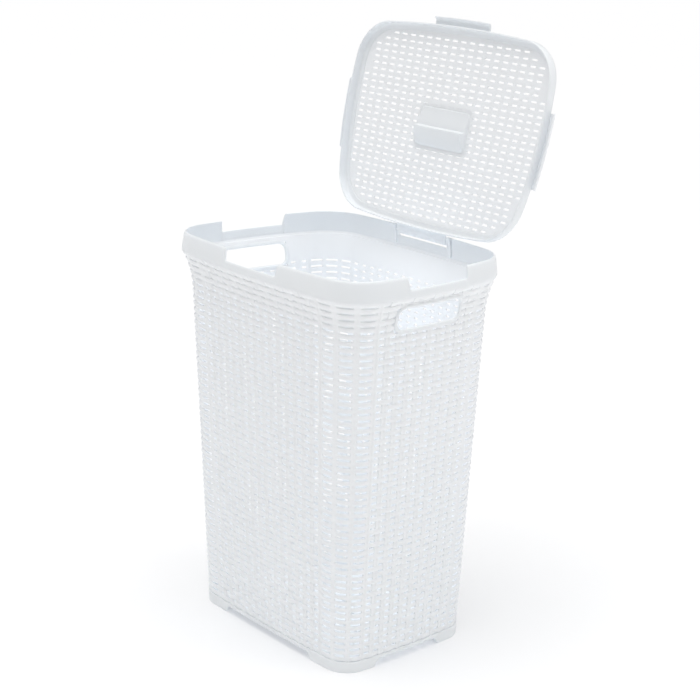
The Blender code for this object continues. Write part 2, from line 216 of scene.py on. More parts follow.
# ---- the wall as a surface
def flare_at(z):
    """How far the wall stands out past its straight taper at height z."""
    z = np.asarray(z, dtype=float)
    below = FLARE * (np.clip(z - FLARE_START, 0, None) / (BAND_BOTTOM - FLARE_START)) ** 2
    above = FLARE - RIM_LEAN * ((z - BAND_BOTTOM) / (RIM_TOP - BAND_BOTTOM)) ** 2
    return np.where(z <= BAND_BOTTOM, below, above)


def tub_shape(z):
    """Half lengths, corner radius and bow of the tub's outer face at height z."""
    share = np.asarray(z, dtype=float) / RIM_TOP
    grow = flare_at(z)
    return (mix(BASE_HALF[0], TOP_HALF[0], share) + grow, mix(BASE_HALF[1], TOP_HALF[1], share) + grow,
            mix(BASE_CORNER, TOP_CORNER, share) + grow, mix(BASE_BOW, TOP_BOW, share))


def side_arc(half, half_across, corner, bow):
    """Radius and half angle of the wide arc of one side."""
    run = half_across - corner
    radius = (run * run + 2 * corner * bow + bow * bow) / (2 * bow)
    return radius, np.arctan2(run, half - corner - (half + bow - radius))


def on_outline(shape, stretch, t, depth, centre_y=0.0):
    """Point of a rounded plan outline; t runs from -1 to 1 along the stretch, depth is outward."""
    half_x, half_y, corner, bow = shape
    radius_x, angle_x = side_arc(half_x, half_y, corner, bow)
    radius_y, angle_y = side_arc(half_y, half_x, corner, bow)
    base = FACING[stretch]
    if "_" not in stretch:
        half, radius, half_angle = half_y, radius_y, angle_y
        if stretch in ("left", "right"):
            half, radius, half_angle = half_x, radius_x, angle_x
        centre = half + bow - radius
        x = centre * math.cos(base) + (radius + depth) * np.cos(base + t * half_angle)
        y = centre * math.sin(base) + (radius + depth) * np.sin(base + t * half_angle)
    else:
        after_x_side = stretch in ("back_right", "front_left")
        first = base + (angle_x if after_x_side else angle_y)
        last = base + 0.5 * math.pi - (angle_y if after_x_side else angle_x)
        angle = mix(first, last, (t + 1) / 2)
        x = math.copysign(1, math.cos(base + 0.25 * math.pi)) * (half_x - corner)
        y = math.copysign(1, math.sin(base + 0.25 * math.pi)) * (half_y - corner)
        x = x + (corner + depth) * np.cos(angle)
        y = y + (corner + depth) * np.sin(angle)
    y = y + centre_y
    return x * (1 - NARROWING * y), y + CENTRE_Y


def stretch_lengths(shape):
    """Length of each side and corner of a plan outline."""
    lengths = []
    for name in STRETCHES:
        x, y = on_outline(shape, name, np.linspace(-1, 1, 200), 0.0)
        lengths.append(np.hypot(np.diff(x), np.diff(y)).sum())
    return np.array(lengths)


LENGTHS = stretch_lengths(tub_shape(REFERENCE_HEIGHT))
STARTS = np.concatenate([[0.0], np.cumsum(LENGTHS)])
PERIMETER = STARTS[-1]
TURNS = (-PERIMETER, 0.0, PERIMETER)  # a slot or rib may lie one turn back or one turn on
MIDDLE = {name: STARTS[i] + LENGTHS[i] / 2 for i, name in enumerate(STRETCHES)}


def wall_points(s, z, depth):
    """Points of the wall for lengths s round the tub, heights z and depths outward."""
    s, z, depth = np.broadcast_arrays(np.mod(s, PERIMETER), z, depth)
    points = np.zeros(s.shape + (3,))
    which = np.clip(np.searchsorted(STARTS, s, side="right") - 1, 0, len(STRETCHES) - 1)
    for i, name in enumerate(STRETCHES):
        here = which == i
        if here.any():
            t = 2 * (s[here] - STARTS[i]) / LENGTHS[i] - 1
            x, y = on_outline(tub_shape(z[here]), name, t, depth[here])
            points[here] = stacked(x, y, z[here])
    return points


# ---- meshes
def make_mesh(name, vertices, faces, smooth_angle=40):
    """New object from vertices and faces, smooth except at edges sharper than smooth_angle."""
    mesh = bpy.data.meshes.new(name)
    mesh.from_pydata(vertices.tolist(), [], faces)
    mesh.validate()
    mesh.shade_smooth()
    mesh.set_sharp_from_angle(angle=math.radians(smooth_angle))
    obj = bpy.data.objects.new(name, mesh)
    bpy.context.scene.collection.objects.link(obj)
    return obj


def sheet_faces(state):
    """Faces of a grid from a table of cell states: 0 open, 1 whole, 2 to 5 one corner cut off."""
    rows, columns = state.shape
    index = np.arange((rows + 1) * (columns + 1)).reshape(rows + 1, columns + 1)
    a, b, c, d = index[:-1, :-1], index[:-1, 1:], index[1:, 1:], index[1:, :-1]
    quads = np.stack([a, b, c, d], axis=-1)[state == 1]
    triangles = [np.stack(corners, axis=-1)[state == number] for number, corners in
                 ((2, (b, c, d)), (3, (a, c, d)), (4, (a, b, d)), (5, (a, b, c)))]
    return quads, np.concatenate(triangles)


def thick_sheet(name, outer, inner, state):
    """Closed mesh: an outer and an inner copy of the same grid, with walls along every open edge."""
    quads, triangles = sheet_faces(state)
    count = outer[..., 0].size
    edges = [quads[:, [i, (i + 1) % 4]] for i in range(4)]
    edges += [triangles[:, [i, (i + 1) % 3]] for i in range(3)]
    edges = np.concatenate(edges)
    key = edges[:, 0] * count + edges[:, 1]
    back = edges[:, 1] * count + edges[:, 0]
    open_edges = edges[~np.isin(key, back)]
    first, last = open_edges[:, 0], open_edges[:, 1]
    walls = np.stack([last, first, first + count, last + count], axis=-1)
    four = np.concatenate([quads, quads[:, ::-1] + count, walls])
    three = np.concatenate([triangles, triangles[:, ::-1] + count])
    used = np.unique(np.concatenate([four.ravel(), three.ravel()]))
    renumber = np.zeros(2 * count, dtype=int)
    renumber[used] = np.arange(len(used))
    vertices = np.concatenate([outer.reshape(-1, 3), inner.reshape(-1, 3)])[used]
    return make_mesh(name, vertices, renumber[four].tolist() + renumber[three].tolist())


def swept_band(name, sections, closed=True, smooth_angle=50):
    """Closed mesh through closed sections, given as an array (section, point of the section, 3)."""
    count, size = sections.shape[:2]
    index = np.arange(count * size).reshape(count, size)
    after = np.roll(index, -1, axis=0)
    if not closed:
        index, after = index[:-1], index[1:]
    faces = np.stack([index, after, np.roll(after, -1, axis=1), np.roll(index, -1, axis=1)], axis=-1)
    faces = faces.reshape(-1, 4).tolist()
    if not closed:
        faces.append(list(range(size)))
        faces.append(list(range((count - 1) * size, count * size))[::-1])
    return make_mesh(name, sections.reshape(-1, 3), faces, smooth_angle)


# ---- weave
def side_ends(side):
    """Lengths round the tub where the narrow slots of a side start and end."""
    count, pitch, shift = SIDE_WEAVE[side]
    middle = MIDDLE[side] + shift
    return middle - count * pitch / 2, middle + count * pitch / 2


def corner_ends(corner):
    """Lengths round the tub where the weave of a corner starts and ends."""
    i = STRETCHES.index(corner)
    start = side_ends(STRETCHES[i - 1])[1]
    end = side_ends(STRETCHES[(i + 1) % 8])[0]
    return start, end if end > start else end + PERIMETER


def weave_layout():
    """Slots as (start, end) and ribs as (centre, kind, parity), in order round the tub."""
    slots = []
    ribs = []
    for side, corner in zip(STRETCHES[0::2], STRETCHES[1::2]):
        count, pitch, _ = SIDE_WEAVE[side]
        start, end = side_ends(side)
        for k in range(count):
            centre = start + (k + 0.5) * pitch
            slots.append((centre - SLOT_HALF, centre + SLOT_HALF))
        for k in range(1, count):
            ribs.append((start + k * pitch, "weave", (k - count // 2) % 2))
        ribs += [(start, "corner", 0), (end, "corner", 0)]
        start, end = corner_ends(corner)
        step = (end - start) / CORNER_SLOTS
        for k in range(CORNER_SLOTS):
            centre = start + (k + 0.5) * step
            slots.append((centre - CORNER_SLOT_HALF, centre + CORNER_SLOT_HALF))
        for k in range(1, CORNER_SLOTS):
            ribs.append((start + k * step, "corner", 0))
    return sorted(slots), sorted(ribs)


SLOTS, RIBS = weave_layout()


def spaced_out(lines, least):
    """Sorted lines without those that lie nearer than least to the line before."""
    return lines[np.concatenate([[True], np.diff(lines) > least])]


def lines_along(start, end):
    """Grid lines from one rib centre to another: they follow the edges of slots and the crowns of ribs."""
    lines = {start, end}
    for turn in TURNS:
        for low, high in SLOTS:
            low, high = low + turn, high + turn
            if high < start or low > end:
                continue
            steps = (0.25, 0.5, 0.75) if high - low > 3 * SLOT_HALF else (0.5,)
            lines.update([low, high, low + SLOT_CHAMFER, high - SLOT_CHAMFER])
            lines.update(mix(low, high, share) for share in steps)
        for centre, _, _ in RIBS:
            for offset in (-RIB_EDGE, -STAKE, 0.0, STAKE, RIB_EDGE):
                if start <= centre + turn + offset <= end:
                    lines.add(centre + turn + offset)
    lines = np.array(sorted(line for line in lines if start - 1e-9 <= line <= end + 1e-9))
    return spaced_out(lines, 0.0003)


def row_lines():
    """Heights of the grid lines, with the row each belongs to and its distance from the row's middle."""
    offsets = (-0.0042, -STRAND_HALF, -0.0029, -0.0017, 0.0, 0.0017, 0.0029, STRAND_HALF, 0.0042)
    heights = []
    for row in range(LOWEST_ROW, HIGHEST_ROW + 1):
        middle = FIRST_ROW + row * ROW_PITCH
        heights.append((middle - ROW_PITCH / 2, row, -ROW_PITCH / 2))
        heights += [(middle + offset, row, offset) for offset in offsets]
    heights.append((FIRST_ROW + (HIGHEST_ROW + 0.5) * ROW_PITCH, HIGHEST_ROW, ROW_PITCH / 2))
    return [np.array(column) for column in zip(*heights)]


def strand_centre(s):
    """Height of the strands' centre line along the wall, for even and for odd rows."""
    controls = []
    for centre, kind, parity in RIBS:
        swing = WAVE if parity == 0 else -WAVE
        controls.append((centre, swing, -swing) if kind == "weave" else (centre, -WAVE, -WAVE))
    for low, high in SLOTS:
        if high - low > 3 * SLOT_HALF:
            controls.append(((low + high) / 2, WAVE, WAVE))
    controls.sort()
    positions = np.array([item[0] for item in controls])
    positions = np.concatenate([positions - PERIMETER, positions, positions + PERIMETER])
    result = []
    for which in (1, 2):
        values = np.tile([item[which] for item in controls], 3)
        i = np.clip(np.searchsorted(positions, s) - 1, 0, len(positions) - 2)
        share = smooth_step((s - positions[i]) / (positions[i + 1] - positions[i]))
        result.append(mix(values[i], values[i + 1], share))
    return np.array(result)


def rib_profile(s):
    """For each line: crown height of the paired stakes there, their kind and parity; none between ribs."""
    crown = np.full(len(s), -1.0)
    corner = np.zeros(len(s), dtype=bool)
    parity = np.zeros(len(s), dtype=int)
    for turn in TURNS:
        for centre, kind, odd in RIBS:
            offset = np.abs(s - centre - turn)
            near = offset < 2 * STAKE - 0.0001
            crown[near] = RIB_CROWN * round_crown((offset[near] - STAKE) / STAKE)
            corner[near] = kind == "corner"
            parity[near] = odd
    return crown, corner, parity


def weave_height(s, z, row, offset):
    """Height of the woven face over the strands' middle plane, as a table of rows by lines."""
    strand = strand_centre(s)[row % 2]
    bump = STRAND_CROWN * round_crown(offset / STRAND_HALF)
    on_strand = np.abs(offset) < STRAND_HALF + 1e-6
    strand = np.where(on_strand[:, None], strand + bump[:, None], -1.0)
    crown, corner, parity = rib_profile(s)
    swing = -np.cos(math.pi * (z - FIRST_ROW) / ROW_PITCH)[:, None] * np.where(parity == 0, WAVE, -WAVE)
    swing = np.where(corner, -0.6 * WAVE, swing)
    rib = np.where(crown > -0.5, swing + crown, -1.0)
    return np.maximum(np.maximum(strand, rib), GROOVE)


def open_slot(state, rows, columns, starts=True, ends=True):
    """Open the cells of one slot, with cut corners where it starts and ends."""
    state[rows[0]:rows[-1] + 1, columns[0]:columns[-1] + 1] = 0
    if starts:
        state[rows[0], columns[0]] = 4
        state[rows[-1], columns[0]] = 3
    if ends:
        state[rows[0], columns[-1]] = 5
        state[rows[-1], columns[-1]] = 2


def cell_states(s, z):
    """Cells of the grid that slots leave open, their corners cut, as a table for sheet_faces."""
    state = np.ones((len(z) - 1, len(s) - 1), dtype=int)
    middle_s = (s[:-1] + s[1:]) / 2
    middle_z = (z[:-1] + z[1:]) / 2
    for height in slot_heights():
        rows = np.where(np.abs(middle_z - height) < ROW_PITCH / 2 - STRAND_HALF)[0]
        if len(rows) == 0:
            continue
        for turn in TURNS:
            for low, high in SLOTS:
                columns = np.where((middle_s > low + turn) & (middle_s < high + turn))[0]
                if len(columns) < 2:
                    continue
                starts = middle_s[columns[0]] - low - turn < SLOT_CHAMFER
                ends = high + turn - middle_s[columns[-1]] < SLOT_CHAMFER
                open_slot(state, rows, columns, starts, ends)
    return state


def slot_heights():
    """Heights of the rows of slots, which lie between the strands."""
    rows = range(LOWEST_ROW, HIGHEST_ROW)
    heights = [FIRST_ROW + (row + 0.5) * ROW_PITCH for row in rows]
    return [height for height in heights if height < TOP_SLOT]


def woven_piece(name, start, end, hand_hole):
    """One stretch of woven wall between two ribs."""
    s = lines_along(start, end)
    z, row, offset = row_lines()
    height = weave_height(s, z, row, offset)
    crest = WAVE + STRAND_CROWN
    outer = wall_points(s[None, :], z[:, None], height - crest + CREST)
    depth = np.where(z < INNER_LEDGE, INNER_FACE, WALL_BEHIND_RIM)[:, None]
    inner = wall_points(s[None, :], z[:, None], depth + 0 * height)
    state = cell_states(s, z)
    if hand_hole:
        y = (outer[:-1, :-1, 1] + outer[1:, 1:, 1]) / 2 - CENTRE_Y - HAND_CENTRE_Y
        level = ((z[:-1] + z[1:]) / 2)[:, None]
        beyond = np.maximum(np.abs(y) - HAND_HALF, np.abs(level - HAND_MIDDLE) - HAND_HALF_HEIGHT)
        state[beyond < HAND_PLAIN] = 1
        state[beyond < HAND_CUT] = 0
    return thick_sheet(name, outer, inner, state)


def build_weave():
    """The woven wall: four sides, two of them with a hand hole, and four corners."""
    pieces = []
    for side, corner in zip(STRETCHES[0::2], STRETCHES[1::2]):
        hand_hole = side in ("left", "right")
        piece = woven_piece("weave_" + side, *side_ends(side), hand_hole)
        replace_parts(piece, "panel_" + side)
        if hand_hole:
            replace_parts(piece, "handle_frame_" + side)
        pieces.append(piece)
        piece = woven_piece("weave_" + corner, *corner_ends(corner), False)
        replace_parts(piece, "corner_" + corner)
        pieces.append(piece)
    return pieces


# ---- hand holes
def side_point(side, across, z, depth):
    """Point of a left or right wall at a distance across from its middle, towards the back."""
    half_x, half_y, corner, bow = tub_shape(z)
    radius, half_angle = side_arc(half_x, half_y, corner, bow)
    t = np.arcsin(across / radius) / half_angle
    x, y = on_outline(tub_shape(z), "right", t, depth)
    return stacked(x if side == "right" else -x, y, z)


def rounded_corner(quarter, half_length, half_height, radius, angle):
    """Point and outward normal on one rounded corner of a rectangle; quarters count from the upper right."""
    sx = 1 if quarter % 4 in (0, 3) else -1
    sy = 1 if quarter % 4 in (0, 1) else -1
    normal = np.array([math.cos(angle), math.sin(angle)])
    centre = np.array([sx * (half_length - radius), sy * (half_height - radius)])
    return centre + radius * normal, normal


def rounded_rectangle(half_length, half_height, radius, steps=7, straight=5):
    """Points and outward normals of a rounded rectangle, counter-clockwise."""
    points, normals = [], []
    for quarter in range(4):
        for step in range(steps + 1):
            angle = 0.5 * math.pi * (quarter + step / steps)
            point, normal = rounded_corner(quarter, half_length, half_height, radius, angle)
            points.append(point)
            normals.append(normal)
        first = points[-1]
        angle = 0.5 * math.pi * (quarter + 1)
        last, normal = rounded_corner(quarter + 1, half_length, half_height, radius, angle)
        for step in range(1, straight):
            points.append(mix(first, last, step / straight))
            normals.append(normal)
    return np.array(points), np.array(normals)


def build_hand_hole_border(side):
    """Smooth rounded border that lines a hand hole."""
    # distance from the edge of the hole, depth outward
    profile = [(0.0, -0.0012), (0.0006, -0.0003), (0.0018, 0.0002), (0.0044, 0.0001), (0.0056, -0.0008),
               (0.0058, -0.0044), (0.0046, -0.0051), (0.0012, -0.0051), (0.0003, -0.0046), (0.0, -0.0040)]
    points, normals = rounded_rectangle(HAND_HALF, HAND_HALF_HEIGHT, HAND_CORNER)
    sections = []
    for point, normal in zip(points, normals):
        spread = np.array([point + normal * out for out, _ in profile])
        depth = np.array([outward for _, outward in profile])
        height = spread[:, 1] + HAND_MIDDLE
        sections.append(side_point(side, spread[:, 0] + HAND_CENTRE_Y, height, depth))
    sections = np.array(sections)
    if side == "left":
        sections = sections[:, ::-1]
    border = swept_band("hand_hole_border_" + side, sections[:, ::-1], smooth_angle=60)
    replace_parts(border, "handle_frame_" + side)
    return border


# ---- rim and base
def along_side(side, s, z):
    """Distance along X or Y from the middle of a side, for lengths s round the tub; 1 m if not near it."""
    points = wall_points(s, z, 0.0)
    along = points[..., 1] - CENTRE_Y if side in ("left", "right") else points[..., 0]
    from_middle = np.abs(np.mod(s - MIDDLE[side] + PERIMETER / 2, PERIMETER) - PERIMETER / 2)
    return np.where(from_middle < SIDE_REACH, along, 1.0)


def share_within(halves, slope, s, z):
    """1 within the given half lengths of the sides' middles, 0 beyond them, with a slope between."""
    share = np.zeros(len(s))
    for side, half in halves.items():
        inside = smooth_step((half + slope / 2 - np.abs(along_side(side, s, z))) / slope)
        share = np.maximum(share, inside)
    return share


def rim_top_at(s):
    """Height of the rim's upper edge, lowered in the four notches."""
    return mix(RIM_TOP, NOTCH_FLOOR, share_within(NOTCH, NOTCH_SLOPE, s, RIM_TOP))


def base_bottom_at(s):
    """Lower edge of the base: on the floor at the feet, raised in the arches."""
    return ARCH_TOP * share_within(ARCH, ARCH_SLOPE, s, 0.0)


def dense_lines(edges, fine=0.0004, reach=0.004, coarse=0.006):
    """Lengths round the tub, close together near the given edges."""
    lines = list(np.arange(0.0, PERIMETER, coarse))
    for edge in edges:
        lines = [line for line in lines if abs(line - edge) > reach]
        lines += list(np.arange(edge - reach, edge + reach + fine / 2, fine))
    return np.array(sorted(set(np.round(np.mod(lines, PERIMETER), 6))))


def level_crossings(values, level, s):
    """Lengths at which a sampled height crosses a level."""
    above = values > level
    return [s[i] for i in np.where(above != np.roll(above, 1))[0]]


def band_sections(s, edge, profile):
    """Sections round the tub from a profile of depth outward, height, and whether the edge is added to it."""
    rings = [wall_points(s, height + from_edge * edge, depth) for depth, height, from_edge in profile]
    return np.stack(rings, axis=1)


def build_rim():
    """The smooth band round the top, lowered in the four notches."""
    sample = np.arange(0.0, PERIMETER, BAND_SAMPLE)
    edges = level_crossings(rim_top_at(sample), (RIM_TOP + NOTCH_FLOOR) / 2, sample)
    s = dense_lines(edges)
    profile = [(-0.0020, BAND_BOTTOM, False), (-0.0004, BAND_BOTTOM, False),
               (0.0, BAND_BOTTOM + 0.0005, False), (0.0, BAND_BOTTOM + 0.0050, False),
               (0.0, -0.0050, True), (0.0, -0.0026, True), (-0.0003, -0.0011, True), (-0.0009, -0.0003, True),
               (-0.0017, 0.0, True), (-0.0023, -0.0003, True), (-0.0027, -0.0011, True),
               (RIM_INNER_FACE, -0.0026, True), (RIM_INNER_FACE, -0.0050, True),
               (RIM_INNER_FACE, BAND_BOTTOM - 0.002, False)]
    rim = swept_band("rim_band", band_sections(s, rim_top_at(s), profile))
    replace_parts(rim, *["rim_corner_" + name for name in STRETCHES[1::2]],
                *["rim_rail_" + name for name in STRETCHES[0::2]])
    return rim


def build_base():
    """Smooth strip under the weave that runs down into the four feet."""
    sample = np.arange(0.0, PERIMETER, BAND_SAMPLE)
    s = dense_lines(level_crossings(base_bottom_at(sample), ARCH_TOP / 2, sample), 0.001, 0.010)
    weave_start = FIRST_ROW + (LOWEST_ROW - 0.5) * ROW_PITCH
    profile = [(-0.0030, 0.0, True), (-0.0013, 0.0, True), (-0.0006, 0.0003, True),
               (-0.0002, 0.0012, True), (-0.0001, 0.0030, True),
               (-0.0001, weave_start - 0.0010, False), (-0.0006, weave_start, False),
               (-0.0020, weave_start + 0.0004, False), (-0.0042, weave_start + 0.0004, False),
               (-0.0042, 0.0030, True)]
    base = swept_band("base_band", band_sections(s, base_bottom_at(s), profile), smooth_angle=60)
    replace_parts(base, *["foot_" + name for name in STRETCHES[1::2]])
    return base


def foot_ring(corner, before, after, z, inset):
    """Points round one foot at height z, with two straight slanted ends towards the arches."""
    slope = FOOT_SLOPE * max(0.0, 1 - z / FOOT_HEIGHT)
    shape = tub_shape(z)
    half_run = {"left": BASE_HALF[1] - BASE_CORNER, "front": BASE_HALF[0] - BASE_CORNER}
    half_run.update(right=half_run["left"], back=half_run["front"])
    share_before = (FOOT_START[before] + slope + inset) / half_run[before]
    share_after = (FOOT_START[after] + slope + inset) / half_run[after]
    points = []
    runs = ((before, share_before, 1, 5), (corner, -1, 1, 16), (after, -1, -share_after, 5))
    for name, first, last, steps in runs:
        t = np.linspace(first, last, steps)
        points.append(np.stack(on_outline(shape, name, t, -inset), axis=-1))
    points = np.concatenate([points[0][:-1], points[1], points[2][1:]])
    first, last = points[0], points[-1]
    inner = (first[0], last[1]) if before in ("front", "back") else (last[0], first[1])
    points = np.concatenate([points, [inner]])
    return stacked(*points.T, z)


def build_foot(corner):
    """Hollow foot with rounded lower edges."""
    i = STRETCHES.index(corner)
    before, after = STRETCHES[i - 1], STRETCHES[(i + 1) % 8]
    top = FOOT_HEIGHT + 0.0025
    # height and inset of each ring: up the outside, then down the inside of the hollow
    levels = [(0.0, 0.0030), (0.0004, 0.0014), (0.0014, 0.0006), (0.0035, 0.0004), (top, 0.0004),
              (top, 0.0026), (0.0040, 0.0026), (0.0028, 0.0034)]
    rings = np.array([foot_ring(corner, before, after, z, inset) for z, inset in levels])
    foot = swept_band("foot_shell_" + corner, rings[::-1], closed=False)
    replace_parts(foot, "foot_" + corner)
    return foot


def floor_lines(axis, foot):
    """Grid lines of the floor along one axis: drain slots, the cross's edges and the outer reach."""
    count = DRAIN_COUNT[axis]
    reach = FLOOR_REACH[axis]
    centres = (np.arange(-count, count) + 0.5) * DRAIN_PITCH[axis]
    edges = [centres - DRAIN_HALF[axis], centres, centres + DRAIN_HALF[axis], [-reach, reach, -foot, foot]]
    return np.unique(np.round(np.concatenate(edges), 5))


def in_drain_slot(place, axis):
    """Whether places lie within the drain slots along one axis."""
    phase = np.mod(place, DRAIN_PITCH[axis]) - DRAIN_PITCH[axis] / 2
    return np.abs(phase) < DRAIN_HALF[axis]


def build_floor():
    """Cross-shaped base plate with rows of drain slots."""
    arm_x, arm_y = FOOT_START["front"], FOOT_START["left"]
    x, y = np.meshgrid(floor_lines(0, arm_x), floor_lines(1, arm_y))
    middle_x = (x[:-1, :-1] + x[1:, 1:]) / 2
    middle_y = (y[:-1, :-1] + y[1:, 1:]) / 2
    state = ((np.abs(middle_x) < arm_x) | (np.abs(middle_y) < arm_y)).astype(int)
    state[in_drain_slot(middle_x, 0) & in_drain_slot(middle_y, 1)] = 0
    half_x, half_y, _, bow = tub_shape(FLOOR_TOP)
    margin = 0.0001
    limit_y = half_y + bow * (1 - (x / half_x) ** 2) - FLOOR_INSET
    y = np.where(np.abs(x) < arm_x + margin, np.clip(y, -limit_y, limit_y), y)
    limit_x = half_x + bow * (1 - (y / half_y) ** 2) - FLOOR_INSET
    x = np.where(np.abs(y) < arm_y + margin, np.clip(x, -limit_x, limit_x), x) * (1 - NARROWING * y)
    top = stacked(x, y + CENTRE_Y, FLOOR_TOP)
    bottom = stacked(x, y + CENTRE_Y, FLOOR_BOTTOM)
    floor = thick_sheet("floor_plate", top, bottom, state)
    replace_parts(floor, "floor")
    return floor


# ---- lid, drawn shut and then turned open
def turned_open(points):
    """Points of the shut lid, turned about the hinge to where the lid rests."""
    turn = np.array(Matrix.Rotation(-OPEN_ANGLE, 3, "X"))
    return HINGE + (points - HINGE) @ turn.T


def lid_ring(inset, side_steps=24, corner_steps=28):
    """Plan points round the shut lid, moved in by inset."""
    points = []
    for name in STRETCHES:
        steps = corner_steps if "_" in name else side_steps
        t = np.linspace(-1, 1, steps, endpoint=False)
        shape = (*LID_HALF, LID_CORNER, LID_BOW)
        points.append(np.stack(on_outline(shape, name, t, -inset, LID_CENTRE_Y), axis=-1))
    return np.concatenate(points)


def build_lid_frame():
    """Smooth border of the lid with its hanging skirt."""
    # inset from the lid's edge, height: the outside and top first, then back along the underside
    profile = [(0.0022, 0.5740), (0.0010, 0.5740), (0.0004, 0.5746), (0.0, 0.5800), (0.0, 0.5862),
               (0.0006, 0.5882), (0.0018, 0.5895), (0.0040, 0.5901),
               (FRAME_WIDTH - 0.0026, 0.5903), (FRAME_WIDTH - 0.0006, 0.5901), (FRAME_WIDTH, 0.5894),
               (FRAME_WIDTH, 0.5870), (FRAME_WIDTH - 0.0006, 0.5864), (FRAME_WIDTH - 0.0026, 0.5863),
               (0.0050, 0.5864), (0.0030, 0.5852), (0.0024, 0.5830), (0.0024, 0.5746)]
    sections = np.stack([stacked(*lid_ring(inset).T, z) for inset, z in profile], axis=1)
    border = swept_band("lid_border", turned_open(sections))
    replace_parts(border, "lid_frame")
    return border


def inside_lid(x, y, inset):
    """Whether points of the shut lid lie inside its outline, moved in by inset."""
    y = y - LID_CENTRE_Y - CENTRE_Y
    x = np.abs(x / (1 - NARROWING * (y + LID_CENTRE_Y)))
    half = np.array(LID_HALF) - inset
    corner = LID_CORNER - inset
    dx = np.clip(x - half[0] + corner, 0, None)
    dy = np.clip(np.abs(y) - half[1] + corner, 0, None)
    bow_x = LID_BOW * (1 - np.clip(np.abs(y) / (half[1] - corner), 0, 1) ** 2)
    bow_y = LID_BOW * (1 - np.clip(x / (half[0] - corner), 0, 1) ** 2)
    flat = (x < half[0] + bow_x) & (np.abs(y) < half[1] + bow_y)
    return flat & ((dx * dx + dy * dy < corner * corner) | (dx == 0) | (dy == 0))


def lid_dome(x, y):
    """How far the lid's top bulges up at points of the shut lid."""
    share_x = np.clip(x / DOME_HALF[0], -1, 1)
    share_y = np.clip((y - LID_CENTRE_Y - CENTRE_Y) / DOME_HALF[1], -1, 1)
    return DOME * (1 - share_x ** 2) * (1 - share_y ** 2)


def lid_relief(along, row_offset, column, row):
    """Height of the lid's woven face: strands across, paired stakes along, over and under in turn."""
    across = along - column * HOLE_PITCH
    swing = LID_WAVE * np.where((column + row) % 2 == 0, 1, -1)
    strand = LID_STRAND_CROWN * round_crown(row_offset / LID_STRAND_HALF)
    strand = strand + swing * np.cos(math.pi * across / HOLE_PITCH)
    stake = LID_STAKE_CROWN * round_crown(2 * np.abs(across) / STAKE_HALF - 1)
    stake = stake - swing * np.cos(math.pi * row_offset / HOLE_ROW_PITCH)
    strand = np.where(np.abs(row_offset) < LID_STRAND_HALF + 1e-6, strand, LID_GROOVE)
    stake = np.where(np.abs(across) < STAKE_HALF + 1e-6, stake, LID_GROOVE)
    return np.maximum(np.maximum(strand, stake), LID_GROOVE) - LID_RELIEF_DROP


def hole_centres():
    """Places of the lid's holes across the lid, before it narrows towards the back."""
    return (np.arange(-HOLE_COLUMNS, HOLE_COLUMNS) + 0.5) * HOLE_PITCH


def lid_columns():
    """Grid lines across the lid: they follow the stakes and the edges of the holes."""
    columns = np.arange(-HOLE_COLUMNS, HOLE_COLUMNS + 1)[:, None] * HOLE_PITCH
    holes = hole_centres()[:, None]
    inner = HOLE_HALF[0] - HOLE_CHAMFER
    lines = [columns + STAKE_HALF * np.array([-1.0, -0.5, 0.0, 0.5, 1.0]),
             holes + np.array([-inner, 0, inner]), holes + np.array([-HOLE_HALF[0], HOLE_HALF[0]])]
    lines = np.concatenate([part.ravel() for part in lines])
    return spaced_out(np.unique(np.round(lines, 6)), 0.0002)


def lid_levels():
    """Grid lines down the lid: distance from the first strand, row, and distance from the row's middle."""
    rows = np.arange(-1, HOLE_ROWS + 2)
    offsets = np.array([-HOLE_ROW_PITCH / 2, -0.0043, -LID_STRAND_HALF, -0.0022, 0.0, 0.0022,
                        LID_STRAND_HALF, 0.0043])
    level = (rows[:, None] * HOLE_ROW_PITCH + offsets).ravel()
    return level, np.repeat(rows, len(offsets)), np.tile(offsets, len(rows))


def lid_narrowing(y):
    """How much the columns of holes draw together at a place along the lid's depth."""
    return 1 - HOLE_NARROWING * (y - CENTRE_Y - HOLE_LEVEL_Y)


def open_lid_holes(state, middle_along, middle_level):
    """Open the cells of every hole that lies wholly within the border, and cut its corners."""
    for number in range(HOLE_ROWS):
        height = (number + 0.5) * HOLE_ROW_PITCH
        rows = np.where(np.abs(middle_level - height) < HOLE_HALF[1])[0]
        for centre in hole_centres():
            columns = np.where(np.abs(middle_along - centre) < HOLE_HALF[0])[0]
            y = FIRST_HOLE_ROW - number * HOLE_ROW_PITCH + CENTRE_Y
            corners_x = np.array([centre - HOLE_HALF[0], centre + HOLE_HALF[0]] * 2) * lid_narrowing(y)
            corners_y = y + HOLE_HALF[1] * np.array([-1, -1, 1, 1])
            if inside_lid(corners_x, corners_y, FRAME_WIDTH).all():
                open_slot(state, rows, columns)


